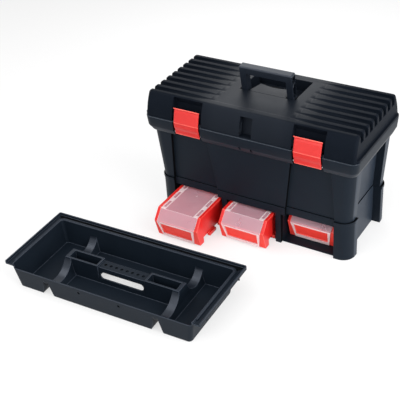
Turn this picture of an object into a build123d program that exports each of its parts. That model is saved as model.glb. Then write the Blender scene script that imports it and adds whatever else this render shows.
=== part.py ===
"""Ribbed plastic toolbox on a rack of three pull-out bins, with its lift-out tray standing beside it.

Millimetres. +X runs to the right along the front, +Y to the back and +Z up.
The origin is the middle of the rack's underside, on the floor.
"""
import os

from build123d import *

os.makedirs("parts", exist_ok=True)

# Fits between pieces
gap = 0.3
pin_clearance = 0.05
wall = 3.0

# Heights of the carcass
seam_height = 100.0
parting_height = 266.0
lid_rise = 58.0

# Body outline at the seam and at the tray ledge, and the sunk panels between its columns
body_foot = (488.0, 208.0)
body_head = (508.0, 222.0)
body_corner = 24.0
end_recess = 18.0
front_recess = 8.0
column_length = 37.0
panel_half_width = (88.0, 106.0)
column_inside = (208.0, 200.0)

# Rolled collar around the mouth of the body
rim = (528.0, 246.0)
rim_corner = 17.0
collar_height = 38.0
collar_curl = 14.0
mouth = (494.0, 212.0)
mouth_corner = 14.0
mouth_depth = 30.0
lip = 4.0
channel_depth = 22.0

# Lid
lid_foot_width = 518.0
lid_top = (514.0, 207.0)
lid_inset = 2.5
lid_shoulder = 8.0
lid_bulge = 4.0
lid_steps = 5
lid_edge_radius = 7.0
lid_end_draft = 1.0
lid_corner = 8.0
end_flange_height = 7.0
rib_count = 9
rib_pitch = 24.5
groove_width = 14.5
groove_depth = 12.0
groove_start = 92.0
groove_hook = 20.0
groove_bite = 6.0
groove_runout = 10.0
rib_hollow_width = 5.0
rib_skin = 3.5

# Carrying handle and its pocket
handle_width = 131.0
handle_depth = 19.0
grip_height = 18.0
leg_width = 16.0
handle_reach = 77.0
handle_lean = 9.0
handle_pivot_drop = 15.0
leg_pocket = 14.0
handle_pin_radius = 2.5
pocket_half_width = 68.5
pocket_front = -13.0
pocket_back = 80.0
pocket_depth = 28.0
mound_half_width = 46.0
mound_back = 42.0
mound_drop = 9.0
mound_bulge = (0.6, 0.28)
mound_hollow = (40.0, 28.0)
pocket_wall = 6.0

# Latches
latch_x = 150.0
latch_width = 64.0
latch_lip_width = 68.0
latch_seat_width = 71.0
latch_thick = 4.0
latch_rise = 35.0
latch_drop = 31.0
latch_pivot_inset = 8.0
latch_pivot_drop = 26.5
latch_barrel_radius = 4.5
latch_barrel_length = 60.0
latch_pin_radius = 2.0
latch_pin_seat = 6.0
latch_sink = 6.0
lid_recess = 18.0
lid_recess_width = 76.0
lid_recess_roof = (2.5, 4.0)
lid_recess_step = 18.0
latch_proud = 1.2
latch_lip_height = 6.0
latch_lip_curl = 2.0
latch_bulge = 15.0
latch_step = 1.0
seat_wall = 2.0

# Lock recess and padlock tab
lock_width = 30.0
lock_lift = 2.0
lock_height = 45.0
lock_sink = 18.0
tab_width = 24.0
tab_slot = 5.0
tab_slot_height = 14.0

# Rear hinge
hinge_x = 150.0
hinge_radius = 5.0
hinge_pin_radius = 2.0
lid_knuckle = 30.0
body_knuckle = 14.0
knuckle_side_gap = 0.4
hinge_setback = 0.6

# Rack
rack = (496.0, 212.0)
rack_corner = 30.0
post_inside = 207.0
post_length = 39.0
post_wall = 6.0
post_flare = 1.5
flare_height = 7.0
rack_floor = 3.0
bay_pitch = 140.0
divider = 14.0
divider_wall = 2.5
fascia_height = 20.0
fascia_setback = 8.0
side_panel_setback = 20.0
back_setback = 2.0
back_shelf = 14.0
screw_y = 55.0
screw_radius = 2.25
screw_length = 18.0
screw_head_radius = 4.5
screw_head_height = 2.5
screw_boss = 14.0

# Bins
bin_width = 116.0
bin_body_width = 106.0
bin_depth = 180.0
bin_height = 71.0
bin_wall = 2.5
bin_foot = 8.0
bin_rim = 6.0
cheek = 28.0
label_top = 46.0
label_lean = 10.0
crease = 21.0
label_size = (84.0, 79.0, 33.0)
label_drop = 1.0
label_sink = 1.0
label_edge = 1.0
foot_length = 28.0
foot_pitch = 46.0
foot_width = 8.0
cover_ledge = 2.2
bin_home = -81.0
bins = {"left": (-bay_pitch, 133.0), "middle": (0.0, 76.0), "right": (bay_pitch, 0.0)}

# Bin covers
cover_thick = 1.6
cover_side_gap = 0.5
cover_drop = 1.3
frame_thick = 1.8
frame_gap = 0.6
frame_foot_inset = 8.0
frame_foot = 1.5
ladder_width = 12.0
ladder_start = 6.0
cell_length = 28.0
cell_width = 7.5
cell_pitch = 42.0
rail = 1.0
gate_radius = 2.2

# Tray
tray_length = 495.0
tray_depth = 208.0
tray_height = 64.0
tray_x = -155.0
tray_y = -398.0
tray_turn = 2.0
tray_wall = 2.5
tray_flange = 18.0
flange_corner = 4.0
flange_drop = 6.0
flange_lip = 3.0
tray_end_draft = 10.0
tray_side_draft = 6.0
tray_corner = 9.0
tray_foot_radius = 4.0
inner_lip = 3.0
tray_front_height = 52.0
ridge_pocket = (82.0, 32.0)
ridge_pocket_x = 102.0
ridge_pocket_top = 48.0
ridge_pocket_depth = 28.0
ridge_pocket_wall = 4.5
beam_width = 26.0
beam_top = 44.0
beam_foot = (17.0, 28.0)
grip_slot = (112.0, 16.0)
grip_slot_z = 24.0
tool_hole_radius = 2.8
tool_hole_pitch = 14.0
tool_hole_count = 8
saddle_x = 140.0
saddle_top_width = 14.0
saddle_foot_width = 38.0
saddle_height = 48.0
saddle_dip = 32.0
front_hole_x = 51.0
front_hole_z = 40.0
front_hole_radius = 2.5
peg_radius = 2.0
peg_drop = 7.0
peg_y = 70.0
peg_inset = 3.0

# Places worked out from the sizes above
ledge_height = parting_height - mouth_depth
lid_foot = parting_height + gap
lid_crest = parting_height + lid_rise
collar_foot = parting_height - collar_height
front_face = -rim[1] / 2
latch_top = parting_height + latch_rise
latch_foot = parting_height - latch_drop
latch_pivot_y = front_face + latch_pivot_inset
latch_pivot_z = parting_height - latch_pivot_drop
hinge_y = rim[1] / 2 + hinge_setback + hinge_radius
hinge_z = parting_height + gap / 2
handle_pivot_z = lid_crest - handle_pivot_drop
bin_floor = rack_floor + gap
lid_lean = (rim[1] / 2 - lid_inset - lid_top[1] / 2) / lid_rise
SIDES = {"left": -1, "right": 1}


def rounded_loft(sections, corner):
    """Solid through rounded rectangles, each given as (height, width, depth)."""
    with BuildPart() as block:
        for height, width, depth in sections:
            with BuildSketch(Plane.XY.offset(height)):
                RectangleRounded(width, depth, corner)
        loft(ruled=True)
    return block.part


def side_prism(points, width, middle=0.0):
    """Solid with an outline in Y and Z, carried along X by its width about the middle."""
    with BuildPart() as prism:
        with BuildSketch(Plane.YZ.offset(middle - width / 2)):
            with BuildLine():
                Polyline(*points, close=True)
            make_face()
        extrude(amount=width)
    return prism.part


def body_form(inset):
    """The body's tapering form with sunk panels; the inset makes the same form for its hollow."""
    grown = 2 * inset
    outer = [(seam_height, body_foot[0] - grown, body_foot[1] - grown),
             (ledge_height, body_head[0] - grown, body_head[1] - grown)]
    inner = [(z, w - 2 * end_recess, d - 2 * front_recess) for z, w, d in outer]
    side_window = body_foot[1] - 2 * column_length + grown
    with BuildPart() as form:
        add(rounded_loft(outer, body_corner - inset))
        for side in SIDES.values():
            with BuildSketch(Plane.XZ.offset(-rim[1])):
                with BuildLine():
                    Polyline(
                        (side * (panel_half_width[0] - inset), seam_height),
                        (side * (column_inside[0] + inset), seam_height),
                        (side * (column_inside[1] + inset), ledge_height),
                        (side * (panel_half_width[1] - inset), ledge_height),
                        close=True,
                    )
                make_face()
            extrude(amount=2 * rim[1], mode=Mode.SUBTRACT)
        with Locations((0, 0, (seam_height + ledge_height) / 2)):
            Box(rim[0], side_window, ledge_height - seam_height, mode=Mode.SUBTRACT)
        add(rounded_loft(inner, body_corner - inset))
        if inset:
            split(bisect_by=Plane.XY.offset(seam_height + wall), keep=Keep.TOP)
    return form.part


def lid_front(height, sunk=0.0):
    """Y of the lid's rounded, inward-leaning front face at a height, sunk inwards by an amount."""
    share = (height - parting_height) / lid_rise
    bulge = 4 * lid_bulge * share * (1 - share)
    return front_face + lid_inset + sunk + (height - parting_height) * lid_lean - bulge


def knuckle(x, length):
    """One barrel of the rear hinge, with its middle at x."""
    with BuildPart() as barrel:
        with BuildSketch(Plane.YZ.offset(x - length / 2)):
            with Locations((hinge_y, hinge_z)):
                Circle(hinge_radius)
        extrude(amount=length)
    return barrel.part


def rod(x, length, y, z, radius):
    """Round rod along X with its middle at x."""
    with BuildPart() as bar:
        with BuildSketch(Plane.YZ.offset(x - length / 2)):
            with Locations((y, z)):
                Circle(radius)
        extrude(amount=length)
    return bar.part


def keep(piece, name):
    """Label a finished piece and write it under its own name."""
    piece.part.label = name
    export_step(piece.part, f"parts/{name}.step")


# Body shell
body_outer = body_form(0.0)
body_hollow = body_form(wall)
collar = rounded_loft(
    [(collar_foot, body_head[0] + lip, body_head[1] + lip),
     (collar_foot + collar_curl, rim[0] - lip, rim[1] - lip),
     (parting_height, *rim)],
    rim_corner,
)
latch_seat = [
    (front_face - latch_sink, collar_foot - latch_sink),
    (-mouth[1] / 2 - seat_wall, collar_foot - latch_sink),
    (-mouth[1] / 2 - seat_wall, latch_pivot_z + 2 * latch_barrel_radius),
    (front_face + latch_sink, latch_pivot_z + 3 * latch_barrel_radius),
    (front_face + latch_sink, lid_foot),
    (front_face - latch_sink, lid_foot),
]
with BuildPart() as body_shell:
    add(body_outer)
    add(collar)
    add(body_hollow, mode=Mode.SUBTRACT)
    with BuildSketch(Plane.XY.offset(ledge_height)):
        RectangleRounded(*mouth, mouth_corner)
    extrude(amount=parting_height - ledge_height, mode=Mode.SUBTRACT)
    with BuildSketch(Plane.XY.offset(parting_height - channel_depth)):
        RectangleRounded(rim[0] - 4 * lip, rim[1] - 4 * lip, rim_corner - lip)
        RectangleRounded(mouth[0] + 2 * lip, mouth[1] + 2 * lip, mouth_corner + lip, mode=Mode.SUBTRACT)
        with Locations((-latch_x, front_face), (latch_x, front_face), (0, front_face)):
            Rectangle(latch_seat_width + 4 * latch_pin_seat, 4 * rim_corner, mode=Mode.SUBTRACT)
    extrude(amount=channel_depth, mode=Mode.SUBTRACT)
    for side in SIDES.values():
        add(side_prism(latch_seat, latch_seat_width, side * latch_x), mode=Mode.SUBTRACT)
        add(rod(side * latch_x, latch_seat_width + 2 * latch_pin_seat, latch_pivot_y, latch_pivot_z,
                latch_pin_radius + pin_clearance), mode=Mode.SUBTRACT)
        for end in (-1, 1):
            x = side * hinge_x + end * (lid_knuckle / 2 + knuckle_side_gap + body_knuckle / 2)
            add(knuckle(x, body_knuckle))
            with Locations((x, hinge_y - hinge_radius, hinge_z - gap - hinge_radius / 2)):
                Box(body_knuckle, 2 * hinge_radius, hinge_radius)
        add(rod(side * hinge_x, lid_knuckle + 4 * body_knuckle, hinge_y, hinge_z,
                hinge_pin_radius + pin_clearance), mode=Mode.SUBTRACT)
        with Locations((side * (tab_width + tab_slot) / 2, front_face, collar_foot + tab_slot_height / 2)):
            Box(tab_slot, 4 * lip, tab_slot_height, mode=Mode.SUBTRACT)
    with Locations((0, 0, seam_height + wall / 2)):
        with GridLocations(bay_pitch, 2 * screw_y, 2, 2):
            Cylinder(screw_radius + pin_clearance, 2 * wall, mode=Mode.SUBTRACT)
keep(body_shell, "body_shell")


# Rack under the body
rack_front = -rack[1] / 2
panel_x = rack[0] / 2 - side_panel_setback
panel_wall_depth = rack[1] - 2 * post_length + 2 * wall


def post_outline(grow):
    """Sketch of the four corner posts: what is left of the rounded rack outside its bays."""
    RectangleRounded(rack[0] + 2 * grow, rack[1] + 2 * grow, rack_corner + grow)
    Rectangle(2 * (post_inside - grow), 2 * rack[1], mode=Mode.SUBTRACT)
    Rectangle(2 * rack[0], rack[1] - 2 * (post_length + grow), mode=Mode.SUBTRACT)


with BuildPart() as base_rack:
    with BuildSketch():
        post_outline(0.0)
    extrude(amount=seam_height)
    with BuildSketch(Plane.XY.offset(seam_height - flare_height)):
        RectangleRounded(rack[0] + 2 * post_flare, rack[1] + 2 * post_flare, rack_corner + post_flare)
        Rectangle(2 * post_inside, 2 * rack[1], mode=Mode.SUBTRACT)
        Rectangle(2 * rack[0], rack[1] - 2 * post_length, mode=Mode.SUBTRACT)
    extrude(amount=flare_height)
    with BuildSketch(Plane.XY.offset(rack_floor)):
        post_outline(-post_wall)
    extrude(amount=seam_height, mode=Mode.SUBTRACT)
    floor_front = rack_front + fascia_setback
    floor_back = rack[1] / 2 - back_setback
    with BuildSketch():
        with Locations((0, (floor_front + floor_back) / 2)):
            Rectangle(2 * post_inside + 2 * wall, floor_back - floor_front)
        Rectangle(2 * panel_x, panel_wall_depth)
    extrude(amount=rack_floor)
    for side in SIDES.values():
        with Locations((side * (panel_x - wall / 2), 0, seam_height / 2)):
            Box(wall, panel_wall_depth, seam_height)
        with Locations((side * (post_inside + wall / 2), (floor_front + floor_back) / 2, seam_height / 2)):
            Box(wall, floor_back - floor_front, seam_height)
        with Locations((side * bay_pitch / 2, (rack_front + floor_back) / 2, seam_height / 2)):
            Box(divider, floor_back - rack_front, seam_height)
    with Locations((0, floor_back - wall / 2, seam_height / 2)):
        Box(2 * post_inside + 2 * wall, wall, seam_height)
    with Locations((0, floor_back - back_shelf / 2, seam_height - wall / 2)):
        Box(2 * post_inside, back_shelf, wall)
    with Locations((0, floor_front + wall / 2, seam_height - fascia_height / 2)):
        Box(2 * post_inside, wall, fascia_height)
    with Locations((0, rack_front + fascia_setback / 2, seam_height - fascia_height / 2)):
        Box(2 * panel_half_width[0], fascia_setback, fascia_height)
    with BuildSketch(Plane.XY.offset(rack_floor)):
        with GridLocations(bay_pitch, 1, 2, 1):
            Rectangle(divider - 2 * divider_wall, rack[1] - 2 * fascia_setback)
        with GridLocations(bay_pitch, 2 * screw_y, 2, 2):
            Rectangle(divider, screw_boss, mode=Mode.SUBTRACT)
    extrude(amount=seam_height, mode=Mode.SUBTRACT)
    with Locations((0, 0, seam_height - screw_length / 2)):
        with GridLocations(bay_pitch, 2 * screw_y, 2, 2):
            Cylinder(screw_radius + pin_clearance, screw_length + 2 * gap, mode=Mode.SUBTRACT)
keep(base_rack, "base_rack")

# Screws that hold the rack to the body's floor
with BuildPart() as rack_screws:
    with Locations((0, 0, seam_height + wall - screw_length / 2)):
        with GridLocations(bay_pitch, 2 * screw_y, 2, 2):
            Cylinder(screw_radius, screw_length)
    with Locations((0, 0, seam_height + wall + screw_head_height / 2)):
        with GridLocations(bay_pitch, 2 * screw_y, 2, 2):
            Cylinder(screw_head_radius, screw_head_height)
keep(rack_screws, "rack_screws")

# Lid shell
shoulder_height = lid_crest - lid_shoulder
shoulder_width = lid_top[0] + lid_end_draft
lid_sections = [(lid_foot, lid_foot_width, -2 * lid_front(lid_foot))]
for k in range(1, lid_steps + 1):
    section_height = lid_foot + k / lid_steps * (shoulder_height - lid_foot)
    section_width = lid_foot_width + k / lid_steps * (shoulder_width - lid_foot_width)
    lid_sections.append((section_height, section_width, -2 * lid_front(section_height)))
lid_block = rounded_loft(lid_sections + [(lid_crest, *lid_top)], lid_corner)
hollow_step = lid_crest - groove_hook - 2 * wall
hollow_roof = lid_crest - groove_depth - wall
lid_hollow = rounded_loft(
    [(lid_foot, lid_foot_width - 2 * wall, -2 * lid_front(lid_foot) - 2 * wall),
     (hollow_step, lid_top[0] - 2 * wall, -2 * lid_front(hollow_step) - 2 * wall)],
    lid_corner - wall,
)
lid_hollow_top = rounded_loft(
    [(hollow_step, lid_top[0] - 2 * groove_bite - 3 * wall, -2 * lid_front(hollow_step) - 2 * wall),
     (hollow_roof, lid_top[0] - 2 * groove_bite - 3 * wall, -2 * lid_front(hollow_roof) - 3 * wall)],
    lid_corner - wall,
)
recess_roof = lid_crest - lid_recess_roof[0]
recess_step = lid_crest - lid_recess_step
backing_top = hollow_roof + wall
latch_recess = [
    (front_face - latch_sink, lid_foot - gap),
    (lid_front(lid_foot - gap, lid_recess), lid_foot - gap),
    (lid_front(recess_step, lid_recess), recess_step),
    (lid_front(recess_roof, lid_recess_roof[1]), recess_roof),
    (front_face - latch_sink, recess_roof),
]
recess_backing = [
    (lid_front(lid_foot, wall / 2), lid_foot),
    (lid_front(lid_foot, lid_recess + wall), lid_foot),
    (lid_front(backing_top, lid_recess + wall), backing_top),
    (lid_front(backing_top, wall), backing_top),
]
lock_foot = parting_height + lock_lift
lock_recess = [
    (front_face - latch_sink, lock_foot),
    (lid_front(lock_foot, lock_sink), lock_foot),
    (lid_front(lock_foot + lock_height, lock_sink), lock_foot + lock_height),
    (front_face - latch_sink, lock_foot + lock_height),
]
pocket_floor = lid_crest - pocket_depth
with BuildPart() as lid_shell:
    add(lid_block)
    fillet(lid_shell.faces().sort_by(Axis.Z)[-1].edges(), lid_edge_radius)
    with BuildSketch(Plane.XY.offset(lid_foot)):
        RectangleRounded(rim[0], rim[1] - 4 * lip, lid_corner)
    extrude(amount=end_flange_height)
    add(lid_hollow, mode=Mode.SUBTRACT)
    add(lid_hollow_top, mode=Mode.SUBTRACT)
    groove_y = [(k - (rib_count - 2) / 2) * rib_pitch for k in range(rib_count - 1)]
    rib_y = [(k - (rib_count - 1) / 2) * rib_pitch for k in range(rib_count)]
    for side in SIDES.values():
        groove_end = lid_top[0] / 2 - groove_bite
        groove_run = Vector(side * (groove_end - groove_start), 0, -groove_depth).normalized()
        for y in groove_y:
            groove_plane = Plane(
                origin=Vector(side * groove_start, y, lid_crest) - groove_run * groove_runout,
                x_dir=(0, side, 0),
                z_dir=groove_run,
            )
            with BuildSketch(groove_plane):
                with Locations((0, groove_width / 2)):
                    Circle(groove_width / 2)
                with Locations((0, groove_width)):
                    Rectangle(groove_width, groove_width)
            extrude(amount=rim[0] / 2 - groove_start + groove_runout, mode=Mode.SUBTRACT)
            with Locations((side * (groove_end + rim[0] / 2) / 2, y, lid_crest - groove_hook / 2)):
                Box(rim[0] / 2 - groove_end, groove_width, groove_hook, mode=Mode.SUBTRACT)
        for y in rib_y[1:-1]:
            hollow_ends = (groove_start + groove_hook, lid_top[0] / 2 - groove_bite - 2 * wall)
            with Locations((side * sum(hollow_ends) / 2, y, (hollow_roof + lid_crest - rib_skin) / 2)):
                Box(hollow_ends[1] - hollow_ends[0], rib_hollow_width, lid_crest - rib_skin - hollow_roof,
                    mode=Mode.SUBTRACT)
    with Locations((0, 0, (hollow_roof + lid_crest - rib_skin) / 2)):
        Box(2 * (groove_start - wall), lid_top[1] - 2 * rib_pitch, lid_crest - rib_skin - hollow_roof,
            mode=Mode.SUBTRACT)
    tub_height = lid_crest - rib_skin / 2 - (pocket_floor - wall)
    with Locations((0, (pocket_front + pocket_back) / 2, pocket_floor - wall + tub_height / 2)):
        Box(2 * (pocket_half_width + pocket_wall), pocket_back - pocket_front + 2 * wall, tub_height)
    with BuildSketch(Plane.XY.offset(pocket_floor)):
        with Locations((0, (pocket_front + pocket_back) / 2)):
            Rectangle(2 * pocket_half_width, pocket_back - pocket_front)
        with Locations((0, pocket_front)):
            Ellipse(mound_half_width, mound_back - pocket_front, mode=Mode.SUBTRACT)
    extrude(amount=pocket_depth + wall, mode=Mode.SUBTRACT)
    with BuildSketch(Plane.YZ.offset(-mound_half_width)):
        with BuildLine():
            mound_start = (pocket_front + wall, lid_crest)
            mound_end = (mound_back, lid_crest - mound_drop)
            mound_middle = (mound_start[0] + mound_bulge[0] * (mound_end[0] - mound_start[0]),
                            lid_crest - mound_bulge[1] * mound_drop)
            ThreePointArc(mound_start, mound_middle, mound_end)
            Polyline(mound_end, (mound_back, lid_crest + wall), (mound_start[0], lid_crest + wall),
                     mound_start)
        make_face()
    extrude(amount=2 * mound_half_width, mode=Mode.SUBTRACT)
    hollow_tops = (lid_crest - mound_drop - wall, lid_crest - mound_drop / 2 - wall)
    for half_width, hollow_top in zip(mound_hollow, hollow_tops):
        with BuildSketch(Plane.XY.offset(pocket_floor - wall)):
            with Locations((0, pocket_front)):
                Ellipse(half_width, half_width + wall)
                with Locations((0, -half_width)):
                    Rectangle(2 * half_width, 2 * half_width, mode=Mode.SUBTRACT)
        extrude(amount=hollow_top - pocket_floor + wall, mode=Mode.SUBTRACT)
    add(rod(0, 2 * (pocket_half_width + pocket_wall), 0, handle_pivot_z, handle_pin_radius + pin_clearance),
        mode=Mode.SUBTRACT)
    for side in SIDES.values():
        add(side_prism(recess_backing, lid_recess_width + 2 * wall, side * latch_x))
        add(side_prism(latch_recess, lid_recess_width, side * latch_x), mode=Mode.SUBTRACT)
        add(knuckle(side * hinge_x, lid_knuckle))
        with Locations((side * hinge_x, hinge_y - hinge_radius, lid_foot + gap + hinge_radius / 2)):
            Box(lid_knuckle, 2 * hinge_radius, hinge_radius)
        add(rod(side * hinge_x, 2 * lid_knuckle, hinge_y, hinge_z, hinge_pin_radius + pin_clearance),
            mode=Mode.SUBTRACT)
    add(side_prism(recess_backing, lock_width + 2 * wall))
    add(side_prism(lock_recess, lock_width), mode=Mode.SUBTRACT)
keep(lid_shell, "lid_shell")

# Hinge pins, latch pins and handle pins
for name, side in SIDES.items():
    with BuildPart() as hinge_pin:
        add(rod(side * hinge_x, lid_knuckle + 2 * body_knuckle + 2 * knuckle_side_gap, hinge_y, hinge_z,
                hinge_pin_radius))
    keep(hinge_pin, f"hinge_pin_{name}")
    with BuildPart() as latch_pin:
        add(rod(side * latch_x, latch_seat_width + 2 * latch_pin_seat - 2 * gap, latch_pivot_y, latch_pivot_z,
                latch_pin_radius))
    keep(latch_pin, f"latch_pin_{name}")
    with BuildPart() as handle_pin:
        pin_ends = (mound_half_width - pocket_wall + gap, pocket_half_width + pocket_wall - gap)
        add(rod(side * sum(pin_ends) / 2, pin_ends[1] - pin_ends[0], 0, handle_pivot_z, handle_pin_radius))
    keep(handle_pin, f"handle_pin_{name}")

# Carrying handle
grip_top = handle_pivot_z + handle_reach
grip_foot = grip_top - grip_height
leg_x = (handle_width - leg_width) / 2
with BuildPart() as upright_handle:
    with BuildSketch(Plane.XZ.offset(-handle_depth / 2)):
        with Locations((0, (handle_pivot_z + grip_top) / 2)):
            Rectangle(handle_width, grip_top - handle_pivot_z)
        with Locations((0, (handle_pivot_z + grip_foot) / 2)):
            Rectangle(handle_width - 2 * leg_width, grip_foot - handle_pivot_z, mode=Mode.SUBTRACT)
    extrude(amount=handle_depth)
    fillet(upright_handle.edges().filter_by(Axis.Y).group_by(Axis.Z)[-1], wall)
    fillet(upright_handle.edges().filter_by(Axis.X).group_by(Axis.Z)[-1], wall)
    for side in SIDES.values():
        add(rod(side * leg_x, leg_width, 0, handle_pivot_z, handle_depth / 2))
        pocket_z = (lid_crest, grip_top - 2 * wall)
        with Locations((side * (handle_width - leg_pocket) / 2, 0, sum(pocket_z) / 2)):
            Box(leg_pocket, handle_depth - 2 * wall, pocket_z[1] - pocket_z[0], mode=Mode.SUBTRACT)
        brace_step = (pocket_z[1] - pocket_z[0]) / 3
        brace_y = handle_depth / 2 - wall
        for k in range(3):
            lean = 1 if k % 2 else -1
            foot = pocket_z[0] + k * brace_step
            brace = [(-lean * brace_y, foot), (-lean * brace_y, foot + wall),
                     (lean * brace_y, foot + brace_step), (lean * brace_y, foot + brace_step - wall)]
            add(side_prism(brace, leg_pocket - wall, side * (handle_width - leg_pocket - wall) / 2))
        add(rod(side * leg_x, 2 * leg_width, 0, handle_pivot_z, handle_pin_radius + pin_clearance),
            mode=Mode.SUBTRACT)
with BuildPart() as handle:
    with Locations(Location((0, 0, handle_pivot_z), (handle_lean, 0, 0))):
        add(upright_handle.part.moved(Location((0, 0, -handle_pivot_z))))
keep(handle, "handle")

# Latches, each a curved plate on a barrel
latch_lip_foot = latch_top - latch_lip_height
latch_middle = (latch_lip_foot + parting_height) / 2
latch_outside = [
    (lid_front(latch_top, -latch_proud) - latch_lip_curl, latch_top),
    (lid_front(latch_lip_foot, -latch_proud), latch_lip_foot),
    (lid_front(latch_middle, -latch_proud), latch_middle),
    (front_face - latch_proud, parting_height + latch_step),
    (front_face - latch_proud / 2, parting_height - latch_bulge),
    (latch_pivot_y - latch_barrel_radius, latch_pivot_z + latch_step),
    (latch_pivot_y - latch_barrel_radius, latch_foot),
]
latch_inside = [
    (latch_pivot_y - latch_barrel_radius / 2, latch_foot),
    (latch_pivot_y - latch_barrel_radius / 2, latch_pivot_z + 3 * latch_step),
    (front_face - latch_proud / 2 + latch_thick, parting_height - latch_bulge + latch_step),
    (front_face - latch_proud + latch_thick, parting_height),
    (lid_front(latch_middle, latch_thick - latch_proud), latch_middle),
    (lid_front(latch_lip_foot, latch_thick - latch_proud), latch_lip_foot + latch_step),
    (lid_front(latch_top, latch_thick - latch_proud) - latch_lip_curl, latch_top + latch_step),
]
latch_lip = [latch_outside[1], latch_outside[0], latch_inside[-1], latch_inside[-2]]
for name, side in SIDES.items():
    with BuildPart() as latch:
        add(side_prism(latch_outside + latch_inside, latch_width, side * latch_x))
        add(side_prism(latch_lip, latch_lip_width, side * latch_x))
        add(rod(side * latch_x, latch_barrel_length, latch_pivot_y, latch_pivot_z, latch_barrel_radius))
        add(rod(side * latch_x, latch_seat_width, latch_pivot_y, latch_pivot_z,
                latch_pin_radius + pin_clearance), mode=Mode.SUBTRACT)
    keep(latch, f"latch_{name}")

# Bin, with its front label edge at y = 0 and its feet at z = 0
label_plane = Plane(
    origin=(0, label_lean / 2, (label_top + bin_foot) / 2),
    x_dir=(1, 0, 0),
    z_dir=(0, -(label_top - bin_foot), -label_lean),
)
half_top, half_low, window_height = label_size[0] / 2, label_size[1] / 2, label_size[2] / 2
label_window = [(half_low, -window_height - label_drop), (half_top, window_height - label_drop),
                (-half_top, window_height - label_drop), (-half_low, -window_height - label_drop)]
bin_inside = bin_body_width / 2 - bin_wall
bin_outline = [(label_lean, bin_foot), (0, label_top), (crease, bin_height), (bin_depth, bin_height),
               (bin_depth, bin_foot)]
label_slope = label_lean / (label_top - bin_foot)
rim_outline = [(label_slope * label_top, 0), (0, label_top), (crease, bin_height), (bin_depth, bin_height),
               (bin_depth, bin_height - bin_rim), (cheek + bin_rim, bin_height - bin_rim),
               (cheek, label_top), (cheek, 0)]
cheek_hollow = [(label_slope * label_top + bin_wall, 0), (label_lean + bin_wall, bin_foot),
                (cheek + bin_wall, bin_foot), (cheek + bin_wall, 0)]
bin_hollow = [(label_lean + bin_wall, bin_foot + bin_wall), (bin_wall, label_top + label_edge),
              (-crease, label_top + label_edge), (-crease, 2 * bin_height),
              (bin_depth - bin_wall, 2 * bin_height), (bin_depth - bin_wall, bin_foot + bin_wall)]
cover_seat = bin_height - cover_drop - cover_thick - gap
with BuildPart() as bin_form:
    add(side_prism(bin_outline, bin_body_width))
    add(side_prism(rim_outline, bin_width))
    add(side_prism(bin_hollow, 2 * bin_inside), mode=Mode.SUBTRACT)
    add(side_prism(cheek_hollow, 2 * bin_inside), mode=Mode.SUBTRACT)
    with BuildSketch(label_plane):
        with BuildLine():
            Polyline(*label_window, close=True)
        make_face()
    extrude(amount=-label_sink, mode=Mode.SUBTRACT)
    foot_count = int((bin_depth - label_lean - foot_length) // foot_pitch) + 1
    for side in SIDES.values():
        for k in range(1, foot_count):
            foot_y = label_lean + foot_length / 2 + k * foot_pitch
            with Locations((side * (bin_width - foot_width) / 2, foot_y, bin_foot / 2)):
                Box(foot_width, foot_length, bin_foot)
        with Locations((side * (bin_inside - cover_ledge / 2), (crease + bin_depth) / 2,
                        cover_seat - cover_ledge / 2)):
            Box(cover_ledge, bin_depth - crease - 2 * bin_wall, cover_ledge)

# Clear cover in the same place as the bin
cover_top = bin_height - cover_drop
cover_half = bin_inside - cover_side_gap
cover_back = bin_depth - bin_wall - cover_side_gap
frame_normal = label_plane.z_dir
frame_line = ((0, label_top), (label_slope * (label_top - frame_foot), frame_foot))
frame_near = [Vector(0, y, z) + frame_normal * frame_gap for y, z in frame_line]
frame_far = [point + frame_normal * frame_thick for point in frame_near]
cover_outline = [
    (cover_back, cover_top),
    (crease - cover_drop / 2, cover_top),
    (frame_far[0].Y - frame_thick / 4, frame_far[0].Z),
    (frame_far[1].Y, frame_far[1].Z),
    (frame_near[1].Y, frame_near[1].Z),
    (frame_near[0].Y, frame_near[0].Z + gap),
    (crease, cover_top - cover_thick),
    (cover_back, cover_top - cover_thick),
]
with BuildPart() as cover_form:
    add(side_prism(cover_outline, 2 * cover_half))
    with BuildSketch(label_plane):
        with BuildLine():
            Polyline(*label_window, close=True)
        make_face()
    extrude(amount=label_top, mode=Mode.SUBTRACT)
    for side in SIDES.values():
        with BuildSketch(Plane.XZ.offset(label_top)):
            with BuildLine():
                Polyline(
                    (side * cover_half, label_top),
                    (side * (cover_half - frame_foot_inset), 0),
                    (side * bin_width, 0),
                    (side * bin_width, label_top),
                    close=True,
                )
            make_face()
        extrude(amount=-label_top - label_lean - 4 * frame_thick, mode=Mode.SUBTRACT)
        ladder_x = side * (cover_half - ladder_width / 2)
        with Locations((ladder_x, (crease + cover_back) / 2, cover_top + rail / 2)):
            Box(ladder_width, cover_back - crease, rail)
        cell_count = int((cover_back - crease - ladder_start - cell_length) // cell_pitch) + 1
        for k in range(cell_count):
            cell_middle = crease + ladder_start + cell_length / 2 + k * cell_pitch
            with Locations((ladder_x, cell_middle, cover_top + rail / 2)):
                Box(cell_width, cell_length, rail, mode=Mode.SUBTRACT)
    with Locations((0, (crease + cover_back) / 2, cover_top)):
        Cylinder(gate_radius, rail)

for name, (x, out) in bins.items():
    with BuildPart() as pull_out_bin:
        with Locations((x, bin_home - out, bin_floor)):
            add(bin_form.part)
    keep(pull_out_bin, f"bin_{name}")
    with BuildPart() as cover:
        with Locations((x, bin_home - out, bin_floor)):
            add(cover_form.part)
    keep(cover, f"cover_{name}")

# Tray, made about its own middle and then set down on the floor at a slight turn
shell_length = tray_length - 2 * tray_flange
shell_depth = tray_depth - tray_flange
shell_y = -tray_flange / 2
flange_z = tray_height - flange_drop
tray_foot = (shell_length - 2 * tray_end_draft, shell_depth - 2 * tray_side_draft)
wall_back = shell_y + shell_depth / 2
wall_front = shell_y - shell_depth / 2
ridge_half = ridge_pocket[1] / 2


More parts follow.
